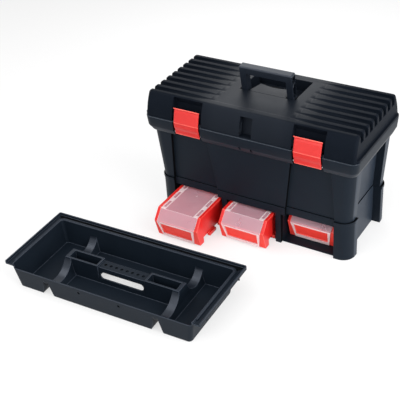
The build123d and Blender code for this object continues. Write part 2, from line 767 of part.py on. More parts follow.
def tray_block(inset, low, high):
    """The tray's tapering shell between two heights, drawn in by an inset."""
    sections = []
    for z in (low, high):
        share = z / flange_z
        sections.append((
            tray_foot[0] + share * (shell_length - tray_foot[0]) - 2 * inset,
            tray_foot[1] + share * (shell_depth - tray_foot[1]) - 2 * inset,
        ))
    with BuildPart() as block:
        for z, (length, depth) in zip((low, high), sections):
            with BuildSketch(Plane.XY.offset(z)):
                with Locations((0, shell_y)):
                    RectangleRounded(length, depth, tray_corner - inset)
        loft(ruled=True)
    return block.part


def saddle(side, inset):
    """Tapering cross partition from the front wall to the back wall, drawn in by an inset."""
    half_top = saddle_top_width / 2 - inset
    half_foot = saddle_foot_width / 2 - inset
    with BuildPart() as partition:
        with BuildSketch(Plane.XZ.offset(-wall_back)):
            with BuildLine():
                Polyline(
                    (side * saddle_x - half_foot, 0),
                    (side * saddle_x + half_foot, 0),
                    (side * saddle_x + half_top, saddle_height - inset),
                    (side * saddle_x - half_top, saddle_height - inset),
                    close=True,
                )
            make_face()
        extrude(amount=wall_back - wall_front)
    return partition.part


def saddle_scoop(side, y_near, y_far, inset):
    """Round hollow that dips a partition's top between two walls."""
    half = (y_far - y_near) / 2
    radius = (half ** 2 + saddle_dip ** 2) / (2 * saddle_dip)
    return rod(side * saddle_x, 2 * saddle_foot_width, (y_near + y_far) / 2,
               saddle_height - saddle_dip + radius, radius + inset)


with BuildPart() as shell_block:
    add(tray_block(0, 0, flange_z))
    fillet(shell_block.faces().sort_by(Axis.Z)[0].edges(), tray_foot_radius)
shell_outside = shell_block.part
shell_inside = tray_block(tray_wall, tray_wall, flange_z)
ridge_spans = [(wall_front + tray_wall, -ridge_half), (ridge_half, wall_back - tray_wall)]
with BuildPart() as partitions:
    for side in SIDES.values():
        add(saddle(side, 0))
    for side in SIDES.values():
        for y_near, y_far in ridge_spans:
            add(saddle_scoop(side, y_near, y_far, 0), mode=Mode.SUBTRACT)
    add(shell_outside, mode=Mode.INTERSECT)
with BuildPart() as partition_hollows:
    for side in SIDES.values():
        add(saddle(side, tray_wall))
    for side in SIDES.values():
        for y_near, y_far in ridge_spans:
            add(saddle_scoop(side, y_near, y_far, tray_wall), mode=Mode.SUBTRACT)

ridge_length = 2 * ridge_pocket_x + ridge_pocket[0]
beam_outline = [(-beam_foot[0], 0), (beam_foot[1], 0),
                (beam_width / 2, beam_top), (-beam_width / 2, beam_top)]
beam_inside = [(-beam_foot[0] + tray_wall, 0), (beam_foot[1] - tray_wall, 0),
               (beam_width / 2 - tray_wall, beam_top - tray_wall),
               (-beam_width / 2 + tray_wall, beam_top - tray_wall)]

with BuildPart() as tray_form:
    add(shell_outside)
    with BuildSketch(Plane.XY.offset(flange_z - flange_lip)):
        RectangleRounded(tray_length, tray_depth, flange_corner)
        with Locations((0, -tray_depth / 2)):
            Rectangle(tray_length, 2 * flange_lip, mode=Mode.SUBTRACT)
    extrude(amount=flange_lip)
    with BuildSketch(Plane.XY.offset(flange_z - flange_lip)):
        RectangleRounded(tray_length, tray_depth, flange_corner)
        with Locations((0, -flange_lip)):
            RectangleRounded(tray_length - 2 * flange_lip, tray_depth, flange_corner - flange_lip,
                             mode=Mode.SUBTRACT)
        with Locations((0, -tray_depth / 2)):
            Rectangle(tray_length, 2 * flange_lip, mode=Mode.SUBTRACT)
    extrude(amount=tray_height - flange_z + flange_lip)
    with BuildSketch(Plane.XY.offset(flange_z)):
        with Locations((0, shell_y)):
            RectangleRounded(shell_length, shell_depth, tray_corner)
            RectangleRounded(shell_length - 2 * tray_wall, shell_depth - 2 * tray_wall,
                             tray_corner - tray_wall, mode=Mode.SUBTRACT)
    extrude(amount=inner_lip)
    add(shell_inside, mode=Mode.SUBTRACT)
    with Locations((0, wall_front, flange_z)):
        Box(shell_length - 2 * flange_lip, 2 * tray_side_draft, 2 * (flange_z - tray_front_height),
            mode=Mode.SUBTRACT)
    add(partitions.part)
    add(partition_hollows.part, mode=Mode.SUBTRACT)
    for side in SIDES.values():
        with Locations((side * ridge_pocket_x, 0, ridge_pocket_top / 2)):
            Box(*ridge_pocket, ridge_pocket_top)
    add(side_prism(beam_outline, ridge_length))
    add(side_prism(beam_inside, ridge_length - 2 * tray_wall), mode=Mode.SUBTRACT)
    hollow_foot = ridge_pocket_top - ridge_pocket_depth - tray_wall
    for side in SIDES.values():
        with Locations((side * ridge_pocket_x, 0, (ridge_pocket_top + hollow_foot) / 2)):
            Box(*ridge_pocket, ridge_pocket_top - hollow_foot)
        with Locations((side * ridge_pocket_x, 0, ridge_pocket_top - ridge_pocket_depth / 2)):
            Box(ridge_pocket[0] - 2 * ridge_pocket_wall, ridge_pocket[1] - 2 * ridge_pocket_wall,
                ridge_pocket_depth, mode=Mode.SUBTRACT)
        with Locations((side * ridge_pocket_x, 0, hollow_foot / 2)):
            Box(ridge_pocket[0] - 2 * tray_wall, ridge_pocket[1] - 2 * tray_wall, hollow_foot,
                mode=Mode.SUBTRACT)
    with BuildSketch(Plane.XZ.offset(-beam_foot[1])):
        with Locations((0, grip_slot_z)):
            SlotOverall(*grip_slot)
    extrude(amount=sum(beam_foot), mode=Mode.SUBTRACT)
    with Locations((0, 0, beam_top)):
        with GridLocations(tool_hole_pitch, beam_width, tool_hole_count, 1):
            Cylinder(tool_hole_radius, 4 * tray_wall, mode=Mode.SUBTRACT)
    with BuildSketch(Plane.XZ.offset(-wall_front - 2 * tray_side_draft)):
        with Locations((-front_hole_x, front_hole_z), (front_hole_x, front_hole_z)):
            Circle(front_hole_radius)
    extrude(amount=4 * tray_side_draft, mode=Mode.SUBTRACT)
    with Locations((0, 0, flange_z - flange_lip - peg_drop / 2)):
        with GridLocations(tray_length - 2 * peg_inset, 2 * peg_y, 2, 2):
            Cylinder(peg_radius, peg_drop)
with BuildPart() as tray:
    with Locations(Location((tray_x, tray_y, 0), (0, 0, tray_turn))):
        add(tray_form.part)
keep(tray, "tray")
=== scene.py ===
"""Looks of the ribbed toolbox on its rack of three pull-out bins, with the lift-out tray beside it.

Metres, in the CAD frame: +X to the right along the front, +Y to the back, +Z up, the floor at z = 0.
A CAD node with the right shape is shown as a merged copy whose sharp corners get a moulded radius.
The tray's copy also has its cross partitions drawn in, as the photograph shows them.
The curved pieces that the solids only sketch are surfaces worked out with numpy.
"""
import math

import bmesh
import bpy
import numpy as np
from mathutils import Matrix, Vector
from mathutils.bvhtree import BVHTree


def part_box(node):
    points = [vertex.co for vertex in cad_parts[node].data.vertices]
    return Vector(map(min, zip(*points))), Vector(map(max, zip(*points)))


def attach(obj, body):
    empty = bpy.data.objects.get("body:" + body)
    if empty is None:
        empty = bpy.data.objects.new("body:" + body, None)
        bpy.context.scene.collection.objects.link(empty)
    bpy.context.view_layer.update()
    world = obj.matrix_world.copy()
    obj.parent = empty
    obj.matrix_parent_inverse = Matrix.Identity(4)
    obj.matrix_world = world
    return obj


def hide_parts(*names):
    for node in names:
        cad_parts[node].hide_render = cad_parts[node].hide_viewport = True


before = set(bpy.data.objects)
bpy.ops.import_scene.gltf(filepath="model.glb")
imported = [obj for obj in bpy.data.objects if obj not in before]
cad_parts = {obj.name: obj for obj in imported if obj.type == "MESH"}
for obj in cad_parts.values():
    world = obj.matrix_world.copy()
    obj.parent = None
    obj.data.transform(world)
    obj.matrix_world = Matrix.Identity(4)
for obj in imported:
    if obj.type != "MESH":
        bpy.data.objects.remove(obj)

MM = 0.001
# Where the tray stands and how far it is turned, and how far its cross partitions are from its middle (mm)
TRAY_X = -155
TRAY_Y = -398
TRAY_TURN = np.radians(2)
PARTITION_X = 140
scene = bpy.context.scene
scene.view_settings.view_transform = "Standard"
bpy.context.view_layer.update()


# Materials

def linear(hex_colour):
    """The linear RGBA colour of an sRGB hex value."""
    srgb = [int(hex_colour[i:i + 2], 16) / 255 for i in (1, 3, 5)]
    return [c / 12.92 if c <= 0.04045 else ((c + 0.055) / 1.055) ** 2.4 for c in srgb] + [1.0]


def add_node(tree, kind, inputs, **settings):
    """Adds a node, sets it up, and gives each named input a value or a link from another node's socket."""
    made = tree.nodes.new(kind)
    for name, value in settings.items():
        setattr(made, name, value)
    for name, value in inputs.items():
        if isinstance(value, bpy.types.NodeSocket):
            tree.links.new(value, made.inputs[name])
        else:
            made.inputs[name].default_value = value
    return made


def per_metre(size_mm):
    """Texture scale for features of a size in millimetres."""
    return 1 / (size_mm * MM)


def empty_material(name):
    """A node material with nothing in it, and its tree."""
    material = bpy.data.materials.new(name)
    material.use_nodes = True
    material.node_tree.nodes.clear()
    return material, material.node_tree


def grained_material(name, colours, roughness, grain_mm, grain_depth_mm, mottle_mm, surface, sheen_fade=None):
    """A moulded or drawn surface: a fine tool grain in the bump, and slow flow marks in colour and gloss.
    A fade gives the sheen in the middle and at both ends, and how far along X, in mm, it starts and stops."""
    material, tree = empty_material(name)
    place = add_node(tree, "ShaderNodeTexCoord", {}).outputs["Object"]
    grain = add_node(tree, "ShaderNodeTexNoise", {
        "Vector": place, "Scale": per_metre(grain_mm), "Detail": 2.0, "Roughness": 0.55})
    bump = add_node(tree, "ShaderNodeBump", {
        "Height": grain.outputs["Fac"], "Strength": 0.5, "Distance": grain_depth_mm * MM})
    flow = add_node(tree, "ShaderNodeTexNoise", {
        "Vector": place, "Scale": per_metre(mottle_mm), "Detail": 4.0, "Distortion": 0.6})
    tint = add_node(tree, "ShaderNodeMix", {
        "Factor": flow.outputs["Fac"], "A": linear(colours[0]), "B": linear(colours[1])}, data_type="RGBA")
    gloss = add_node(tree, "ShaderNodeMapRange", {
        "Value": flow.outputs["Fac"], "To Min": roughness[0], "To Max": roughness[1]})
    shader = add_node(tree, "ShaderNodeBsdfPrincipled", {
        "Base Color": tint.outputs["Result"], "Roughness": gloss.outputs["Result"],
        "Normal": bump.outputs["Normal"], **surface})
    if sheen_fade:
        middle_sheen, end_sheen, start_mm, stop_mm = sheen_fade
        along = add_node(tree, "ShaderNodeSeparateXYZ", {"Vector": place})
        distance = add_node(tree, "ShaderNodeMath", {0: along.outputs["X"]}, operation="ABSOLUTE")
        sheen = add_node(tree, "ShaderNodeMapRange", {
            "Value": distance.outputs["Value"], "From Min": start_mm * MM, "From Max": stop_mm * MM,
            "To Min": middle_sheen, "To Max": end_sheen}, interpolation_type="SMOOTHSTEP")
        tree.links.new(sheen.outputs["Result"], shader.inputs["Specular IOR Level"])
    add_node(tree, "ShaderNodeOutputMaterial", {"Surface": shader.outputs["BSDF"]})
    return material


# Moulded black polypropylene from a spark-eroded tool: matt blue-black with a soft grey sheen on top.
# The real grain is about 0.3 mm and is drawn at 1.2 mm so that it shows.
black_plastic = grained_material(
    "polypropylene_black_spark_eroded", ("#0e151d", "#141c25"), (0.46, 0.56), 1.2, 0.12, 60,
    {"IOR": 1.49, "Specular IOR Level": 0.19, "Specular Tint": linear("#d3dcec")})
# The same plastic on the lid: the flat middle has a soft grey sheen, which fades towards the ribbed ends.
black_lid = grained_material(
    "polypropylene_black_ribbed_lid", ("#0c1118", "#12171f"), (0.46, 0.56), 1.2, 0.12, 60,
    {"IOR": 1.49, "Specular Tint": linear("#d3dcec")}, (0.2, 0.05, 70, 150))
# The same plastic on the moulded corners: shinier than the faces, and painted paler as a highlight.
black_corner_highlight = grained_material(
    "polypropylene_black_corner_painted_highlight", ("#2c323c", "#3a414c"), (0.3, 0.4), 2.0, 0.04, 25,
    {"IOR": 1.49, "Specular IOR Level": 0.4, "Specular Tint": linear("#d3dcec")})
# The same plastic inside a deep step or a seam, painted near black as the shade that falls there.
black_painted_shade = grained_material(
    "polypropylene_black_painted_seam_shade", ("#040608", "#07090c"), (0.8, 0.9), 1.2, 0.1, 60,
    {"IOR": 1.49, "Specular IOR Level": 0.05})
# The same plastic on the collar's fine ledge, where the lid closes on it: shiny, and a painted pale
# highlight.
black_ledge_highlight = grained_material(
    "polypropylene_black_ledge_painted_highlight", ("#3c434c", "#4a515b"), (0.3, 0.4), 1.6, 0.04, 25,
    {"IOR": 1.49, "Specular IOR Level": 0.5})
# The same plastic on the collar's rolled foot and the tray's lips: a dull grey band of painted highlight.
black_roll_highlight = grained_material(
    "polypropylene_black_roll_painted_highlight", ("#161c24", "#20262f"), (0.4, 0.5), 1.6, 0.08, 40,
    {"IOR": 1.49, "Specular IOR Level": 0.32, "Specular Tint": linear("#d3dcec")})
# The same plastic on the two ends, painted a paler grey for the light that falls on them from the side.
black_end_painted_light = grained_material(
    "polypropylene_black_end_painted_light", ("#1d2530", "#27303b"), (0.42, 0.52), 1.6, 0.1, 40,
    {"IOR": 1.49, "Specular IOR Level": 0.38, "Specular Tint": linear("#d3dcec")})
# The same plastic on the grip and in the tray's scoops, polished by hands: level faces shine pale, and
# sides stay dark.
black_grip = grained_material(
    "polypropylene_black_polished_grip", ("#141921", "#1a2029"), (0.3, 0.4), 1.6, 0.06, 40,
    {"IOR": 1.49, "Specular IOR Level": 0.66, "Specular Tint": linear("#d3dcec")})
# Moulded red polypropylene from a polished tool: a warm even red with a clear waxy gloss.
red_plastic = grained_material(
    "polypropylene_red_polished_tool", ("#d81f1d", "#e02724"), (0.26, 0.36), 2.5, 0.05, 45,
    {"IOR": 1.49, "Specular IOR Level": 0.4})
# The same plastic on a bin's label plate, left matt so that a label sticks: a flatter red, with light painted
# in.
red_label_painted_light = grained_material(
    "polypropylene_red_label_plate_painted_light", ("#ee3a30", "#f5443a"), (0.5, 0.6), 1.2, 0.08, 45,
    {"IOR": 1.49, "Specular IOR Level": 0.3})
# The latches' red polypropylene, moulded with a satin face: a little deeper than the bins.
red_latch = grained_material(
    "polypropylene_red_satin_latch", ("#cc2320", "#d62c28"), (0.34, 0.44), 2.0, 0.06, 30,
    {"IOR": 1.49, "Specular IOR Level": 0.5})
# Its corners, and fine bands on the latches: a painted highlight in a lighter, salmon red.
red_corner_highlight = grained_material(
    "polypropylene_red_corner_painted_highlight", ("#f4584c", "#fb6c5f"), (0.22, 0.3), 2.5, 0.04, 30,
    {"IOR": 1.49, "Specular IOR Level": 0.5})
# Moulded natural polypropylene, thin and unfilled: milky, see-through, with the bin's red light painted in as
# pink.
clear_plastic_painted_pink = grained_material(
    "polypropylene_natural_translucent", ("#eab8c8", "#f2ccd7"), (0.24, 0.36), 3.0, 0.02, 30,
    {"IOR": 1.49, "Alpha": 0.33})
# Its edges: nearly solid, painted white as the glow of light that runs in the sheet and leaves at the
# corners.
clear_edge_painted_glow = grained_material(
    "polypropylene_natural_edge_painted_glow", ("#f8e4e7", "#fdf0f1"), (0.2, 0.3), 3.0, 0.02, 30,
    {"IOR": 1.49, "Alpha": 0.7})
# Zinc-plated steel rod, drawn and bright: cool grey with fine turned lines.
zinc_steel = grained_material(
    "steel_zinc_plated_drawn", ("#b9bdc2", "#d2d5d8"), (0.25, 0.38), 0.8, 0.03, 12, {"Metallic": 1.0})

# Each material's corners take the painted highlight that goes with it.
CORNER_HIGHLIGHT_OF = {
    black_plastic.name: black_corner_highlight,
    black_grip.name: black_corner_highlight,
    black_roll_highlight.name: black_corner_highlight,
    black_lid.name: black_corner_highlight,
    red_plastic.name: red_corner_highlight,
    red_latch.name: red_corner_highlight,
    clear_plastic_painted_pink.name: clear_edge_painted_glow,
}


# Pieces

def finish_piece(mesh, name, body, material, nodes):
    """Puts a mesh in the scene, on its body, in its material, standing for the CAD nodes named."""
    piece = bpy.data.objects.new(name, mesh)
    scene.collection.objects.link(piece)
    mesh.materials.clear()
    mesh.materials.append(material)
    # The second slot is the painted highlight of the corners.
    mesh.materials.append(CORNER_HIGHLIGHT_OF[material.name])
    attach(piece, body)
    if nodes:
        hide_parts(*nodes)
    return piece


def settle_spikes(piece, plain, box):
    """Makes the piece's finished mesh its own. Points that a radius threw off a thin corner, further than a
    millimetre from the plain shape, go back to the nearest point of that shape. Points past the box of the
    solid, given by its lowest and highest corner, go back to its side."""
    made = bpy.data.meshes.new_from_object(piece.evaluated_get(bpy.context.evaluated_depsgraph_get()))
    piece.modifiers.clear()
    piece.data = made
    for vertex in made.vertices:
        nearest, _, _, distance = plain.find_nearest(vertex.co)
        if distance > MM:
            vertex.co = nearest
        vertex.co = np.clip(vertex.co, *box)


def moulded_copy(node, body, material, radius_mm, finishes=(), corner=1, reshape=None):
    """A merged copy of a CAD node whose sharp corners get a moulded radius. Each finish is a material and a
    test of face middles (in mm) and directions that says which faces take it. The corners take the material
    in the slot given, or with -1 that of the faces beside them. A reshape takes all points of the merged
    copy, in mm, and gives them back moved."""
    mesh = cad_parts[node].data.copy()
    shape = bmesh.new()
    shape.from_mesh(mesh)
    bmesh.ops.remove_doubles(shape, verts=shape.verts, dist=0.002 * MM)
    for face in shape.faces:
        face.smooth = True
    if reshape:
        points = reshape(np.array([vertex.co for vertex in shape.verts]) / MM) * MM
        for vertex, point in zip(shape.verts, points):
            vertex.co = point
    shape.to_mesh(mesh)
    plain = BVHTree.FromBMesh(shape)
    shape.free()
    piece = finish_piece(mesh, f"{node}_moulding", body, material, [node])
    middles = np.empty(3 * len(mesh.polygons))
    ways = np.empty(3 * len(mesh.polygons))
    mesh.polygons.foreach_get("center", middles)
    mesh.polygons.foreach_get("normal", ways)
    slots = np.zeros(len(mesh.polygons), np.int32)
    for finish, test in finishes:
        mesh.materials.append(finish)
        slots[test(middles.reshape(-1, 3) / MM, ways.reshape(-1, 3))] = len(mesh.materials) - 1
    mesh.polygons.foreach_set("material_index", slots)
    bevel = piece.modifiers.new("moulded_radius", "BEVEL")
    bevel.width = radius_mm * MM
    bevel.segments = 2
    bevel.limit_method = "ANGLE"
    bevel.angle_limit = math.radians(32)
    bevel.use_clamp_overlap = False
    bevel.loop_slide = False
    # Slot 1 is the corners' painted highlight.
    bevel.material = corner
    flat = piece.modifiers.new("flat_faces", "WEIGHTED_NORMAL")
    flat.mode = "FACE_AREA"
    flat.weight = 100
    settle_spikes(piece, plain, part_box(node))
    return piece


def panel_steps(middles, ways):
    """The side faces of the sunk panels on the front and back of the body, and of the rack's fascia: painted
    shade.
    """
    return (np.abs(ways[:, 0]) > 0.8) & (np.abs(middles[:, 0]) < 212) & (np.abs(middles[:, 1]) > 90)


def end_faces(middles, ways):
    """The outward faces of both ends, below the collar, painted paler for the light on them."""
    outward = ways[:, 0] * np.sign(middles[:, 0])
    return (outward > 0.97) & (np.abs(middles[:, 0]) > 205) & (middles[:, 2] < 230)


def collar_roll(middles, ways):
    """The collar's foot, which rolls in under it and takes a painted highlight."""
    return (ways[:, 2] < -0.05) & (ways[:, 2] > -0.9) & (np.abs(middles[:, 2] - 235) < 8)


def collar_ledge(middles, ways):
    """The top of the collar, which shows as a fine ledge around the foot of the lid, painted as a pale
    highlight.
    """
    return (ways[:, 2] > 0.9) & (middles[:, 2] > 265.5)


def seam_top(middles, ways):
    """The rack's upper edge, under the body, painted as shade."""
    return (ways[:, 2] > 0.9) & (middles[:, 2] > 99)


moulded_copy("body_shell", "box", black_plastic, 0.8, [
    (black_end_painted_light, end_faces), (black_painted_shade, panel_steps), (black_roll_highlight, collar_roll),
    (black_ledge_highlight, collar_ledge)], -1)
moulded_copy("base_rack", "box", black_plastic, 0.8, [
    (black_end_painted_light, end_faces), (black_painted_shade, panel_steps), (black_painted_shade, seam_top)], -1)


def pocket_mound(middles, ways):
    """The mound in the handle's pocket, below the platform's level, painted black as the pocket's shade."""
    inside = (np.abs(middles[:, 0]) < 46.5) & (middles[:, 1] > -12) & (middles[:, 1] < 43)
    return inside & (middles[:, 2] < 323.9) & (middles[:, 2] > 296.5) & (ways[:, 2] > -0.2)


moulded_copy("lid_shell", "lid", black_lid, 0.9, [(black_painted_shade, pocket_mound)], -1)
moulded_copy("handle", "handle", black_grip, 0.7, [], -1)


def to_tray(points):
    """Points along the tray's own directions, from its middle: the tray is set down at a slight turn."""
    along = points[:, 0] - TRAY_X
    back = points[:, 1] - TRAY_Y
    x = along * np.cos(TRAY_TURN) + back * np.sin(TRAY_TURN)
    y = back * np.cos(TRAY_TURN) - along * np.sin(TRAY_TURN)
    return x, y, points[:, 2]


def tray_channel(middles, ways):
    """The back run of the rim's sunk channel, painted black as the shade of the outer lip."""
    return (ways[:, 2] > 0.9) & (np.abs(middles[:, 2] - 58) < 0.6) & (to_tray(middles)[1] > 87)


def tray_lips(middles, ways):
    """The tops of the rim's two lips, and of the walls around the two pockets, which take a painted
    highlight.
    """
    return (ways[:, 2] > 0.9) & ((middles[:, 2] > 60.5) | (np.abs(middles[:, 2] - 48) < 0.2))


def tray_scoops(middles, ways):
    """The hollowed tops of the tray's cross partitions."""
    x, y, z = to_tray(middles)
    between_walls = (np.abs(np.abs(x) - PARTITION_X) < 14) & (np.abs(y) > 17)
    upward = (np.abs(ways[:, 0]) < 0.3) & (ways[:, 2] > 0.3)
    return upward & between_walls & (z > 8) & (z < 49)


def slim_partitions(points):
    """Draws in the sides of the tray's cross partitions. Across a partition, each point's distance from its
    middle plane shrinks in the ratio of two half widths: the new one, which flares only near the floor, and
    the solid's, which grows evenly from top to foot."""
    x, _, z = to_tray(points)
    middle = PARTITION_X * np.sign(x)
    half = 19 - z / 4
    new_half = np.interp(z, [2, 13, 40, 48], [16.5, 10, 9, 7])
    inside = (np.abs(x - middle) < half + 0.05) & (z > 2) & (z < 48)
    shift = np.where(inside, (x - middle) * (new_half / half - 1), 0)
    return points + shift[:, None] * np.array((np.cos(TRAY_TURN), np.sin(TRAY_TURN), 0))


def paint_shade_in_holes(mesh):
    """Gives the insides and rims of the tray's tool holes and of its two front holes the painted shade of a
    deep gap.
    A face belongs to a hole when its middle is nearer to the hole's axis than the rim's outer edge."""
    middles = np.empty(3 * len(mesh.polygons))
    mesh.polygons.foreach_get("center", middles)
    x, y, z = to_tray(middles.reshape(-1, 3) / MM)
    pitch, beam_half_length, beam_height = 14, 56, 43
    front_hole_x, front_hole_height = 51, 40
    from_hole = np.abs(x) % pitch - pitch / 2
    on_beam = (np.abs(x) < beam_half_length) & (np.abs(z - beam_height) < 4)
    beam = on_beam & (np.hypot(from_hole, y) < 3.6)
    front = (np.hypot(np.abs(x) - front_hole_x, z - front_hole_height) < 3.3) & (y < -80)
    slots = np.empty(len(mesh.polygons), np.int32)
    mesh.polygons.foreach_get("material_index", slots)
    slots[beam | front] = [m.name for m in mesh.materials].index(black_painted_shade.name)
    mesh.polygons.foreach_set("material_index", slots)


tray_piece = moulded_copy("tray", "tray", black_plastic, 0.7, [
    (black_painted_shade, tray_channel), (black_roll_highlight, tray_lips), (black_grip, tray_scoops)],
    reshape=slim_partitions)
paint_shade_in_holes(tray_piece.data)


def smooth_path(points, count):
    """Points on a smooth curve through the knots: between two of them, a cubic that leaves and arrives along
    the chords of their neighbours. The curve is read at even steps of its own parameter."""
    knots = np.array(points, float)
    padded = np.vstack([2 * knots[0] - knots[1], knots, 2 * knots[-1] - knots[-2]])
    s = np.linspace(0, len(knots) - 1, count)
    i = np.minimum(s.astype(int), len(knots) - 2)
    u = (s - i)[:, None]
    p0, p1, p2, p3 = (padded[i + k] for k in range(4))
    return 0.5 * (2 * p1 + (p2 - p0) * u + (2 * p0 - 5 * p1 + 4 * p2 - p3) * u ** 2
                  + (3 * p1 - p0 - 3 * p2 + p3) * u ** 3)


def tube_mesh(name, grid):
    """A mesh from rings of points: grid[i, j] is point j of ring i. Each ring is closed, and the first and
    last rings are shut with a fan to their middle."""
    rings, around = grid.shape[:2]
    index = np.arange(rings * around).reshape(rings, around)
    turned = np.roll(index, -1, axis=1)
    sides = np.stack([index[:-1], turned[:-1], turned[1:], index[1:]], axis=-1).reshape(-1, 4)
    first, last = rings * around, rings * around + 1
    caps = np.concatenate([
        np.stack([turned[0], index[0], np.full(around, first)], axis=-1),
        np.stack([index[-1], turned[-1], np.full(around, last)], axis=-1)])
    points = np.vstack([grid.reshape(-1, 3), grid[0].mean(0), grid[-1].mean(0)])
    mesh = bpy.data.meshes.new(name)
    mesh.from_pydata(points.tolist(), [], sides.tolist() + caps.tolist())
    shape = bmesh.new()
    shape.from_mesh(mesh)
    bmesh.ops.recalc_face_normals(shape, faces=shape.faces)
    shape.to_mesh(mesh)
    shape.free()
    mesh.shade_smooth()
    return mesh


def latch_plate(name, middle_x, steps=130, around=40):
    """A latch: a flat oval section carried down the toolbox front. Its path bows out over the lid's rounded
    front to the parting line and back in to the pivot, and the top end flicks out as a finger lip. The
    section is a superellipse, half a width across and half a thickness deep, so that all its corners are
    rounded. A bell curve of the height raises a fine bead on the front, level with the parting line."""
    path = smooth_path([(-117.0, 300.6), (-114.4, 296.0), (-116.8, 289.0), (-119.0, 280.0), (-121.2, 272.0),
                        (-122.2, 266.5), (-121.4, 255.0), (-118.8, 246.5), (-118.2, 235.6)], steps)
    heading = np.gradient(path, axis=0)
    heading /= np.linalg.norm(heading, axis=1)[:, None]
    outward = np.stack([heading[:, 1], -heading[:, 0]], axis=1)
    s = np.linspace(0, 1, steps)
    half_width = 32.0 + 2.0 * np.exp(-(s / 0.09) ** 2)
    half_thick = np.interp(s, [0, 0.05, 0.2, 0.7, 0.92, 1], [0.7, 1.3, 1.9, 1.9, 1.5, 0.8])
    angle = np.linspace(0, 2 * np.pi, around, endpoint=False)
    across = np.sign(np.cos(angle)) * np.abs(np.cos(angle)) ** 0.12
    deep = np.sign(np.sin(angle)) * np.abs(np.sin(angle)) ** 0.5
    grid = np.empty((steps, around, 3))
    grid[:, :, 0] = middle_x + half_width[:, None] * across
    bead = 0.7 * np.exp(-((path[:, 1] - 266.5) / 0.9) ** 2)
    depth = half_thick[:, None] * deep + bead[:, None] * np.maximum(deep, 0)
    grid[:, :, 1:] = path[:, None, :] + outward[:, None, :] * depth[:, :, None]
    return tube_mesh(name, grid * MM)


def latch_barrel(name, middle_x):
    """The latch's turned barrel: a circle carried along X, drawn in at both ends as a rounded shoulder."""
    x = np.array([-30, -29.9, -29.4, -28, 28, 29.4, 29.9, 30])
    radius = np.array([2.1, 3.6, 4.2, 4.5, 4.5, 4.2, 3.6, 2.1])
    angle = np.linspace(0, 2 * np.pi, 32, endpoint=False)
    pivot_y, pivot_z = -115, 239.5
    grid = np.stack([
        np.broadcast_to((middle_x + x)[:, None], (len(x), len(angle))),
        pivot_y + radius[:, None] * np.cos(angle),
        pivot_z + radius[:, None] * np.sin(angle)], axis=-1)
    return tube_mesh(name, grid * MM)


def rim_bead(name):
    """The bead on the tray rim's inner lip. Its path is the tray wall's outline at the rim: straight along
    the left side, the back and the right side, with quarter circles at the two back corners, turned and set
    down with the tray. The section carried along it is a superellipse, flat-topped with rounded shoulders."""
    half_length, back, front, corner = 229.5, 86.0, -88.0, 9.0
    turn = np.linspace(0, np.pi / 2, 9)
    left = np.stack([
        -half_length + corner - corner * np.cos(turn),
        back - corner + corner * np.sin(turn)], axis=1)
    right = left[::-1] * (-1, 1)
    path = np.vstack([(-half_length, front), left, right, (half_length, front)])
    heading = np.gradient(path, axis=0)
    heading /= np.linalg.norm(heading, axis=1)[:, None]
    outward = np.stack([-heading[:, 1], heading[:, 0]], axis=1)
    around = 24
    half_size, middle_z = 2.2, 59.2
    angle = np.linspace(0, 2 * np.pi, around, endpoint=False)
    across = half_size * np.sign(np.cos(angle)) * np.abs(np.cos(angle)) ** 0.4
    lift = middle_z + half_size * np.sign(np.sin(angle)) * np.abs(np.sin(angle)) ** 0.4
    flat = path[:, None, :] + outward[:, None, :] * (across[None, :, None] + 2.0)
    cosine, sine = np.cos(TRAY_TURN), np.sin(TRAY_TURN)
    grid = np.empty((len(path), around, 3))
    grid[:, :, 0] = TRAY_X + cosine * flat[:, :, 0] - sine * flat[:, :, 1]
    grid[:, :, 1] = TRAY_Y + sine * flat[:, :, 0] + cosine * flat[:, :, 1]
    grid[:, :, 2] = lift
    return tube_mesh(name, grid * MM)


# The bead takes the lips' painted highlight.
finish_piece(rim_bead("tray_rim_bead"), "tray_rim_bead", "tray", black_roll_highlight, [])


def lid_prow(name):
    """The flat prow that the lid's platform sends back between the handle's legs. Each section across it is a
    trapezium: a level top whose half width shrinks evenly towards the back, and sides that slope out below
    it. The sections follow one another along Y. Towards the back the top dips in the middle as a parabola,
    to let fingers in."""
    sections, n = 24, 9
    front_y, length = -12.8, 40.8
    top_z, foot_z, dip, side_slope = 324.3, 312.0, 4, 4
    v = np.linspace(0, 1, sections)
    half_top = 44 - 7.4 * v
    step = np.linspace(-1, 1, n)
    grid = np.empty((sections, 2 * n, 3))
    grid[:, :n, 0] = half_top[:, None] * step
    grid[:, n:, 0] = -(half_top[:, None] + side_slope) * step
    grid[:, :, 1] = (front_y + length * v)[:, None]
    grid[:, :n, 2] = top_z - dip * v[:, None] ** 3 * (1 - step ** 2)
    grid[:, n:, 2] = foot_z
    mesh = tube_mesh(name, grid * MM)
    mesh.set_sharp_from_angle(angle=math.radians(30))
    return mesh


finish_piece(lid_prow("lid_prow"), "lid_prow", "lid", black_lid, [])


def paint_highlight_bands(mesh, bands):
    """Gives the faces of a mesh in bands of height, each (low, high) in mm, the painted highlight of the
    corners.
    """
    middles = np.empty(3 * len(mesh.polygons))
    mesh.polygons.foreach_get("center", middles)
    height = middles[2::3] / MM
    chosen = np.any([(height > low) & (height < high) for low, high in bands], axis=0)
    mesh.polygons.foreach_set("material_index", chosen.astype(np.int32))


for side, middle_x in (("left", -150.0), ("right", 150.0)):
    plate = latch_plate(f"latch_{side}_plate", middle_x)
    finish_piece(plate, f"latch_{side}_plate", f"latch_{side}", red_latch, [f"latch_{side}"])
    # Pale lines of painted highlight at the latch's foot, its bead and its finger lip.
    paint_highlight_bands(plate, [(235.0, 237.5), (265.7, 267.3), (298.2, 301.0)])
    finish_piece(latch_barrel(f"latch_{side}_barrel", middle_x), f"latch_{side}_barrel", f"latch_{side}",
                 red_latch, [])


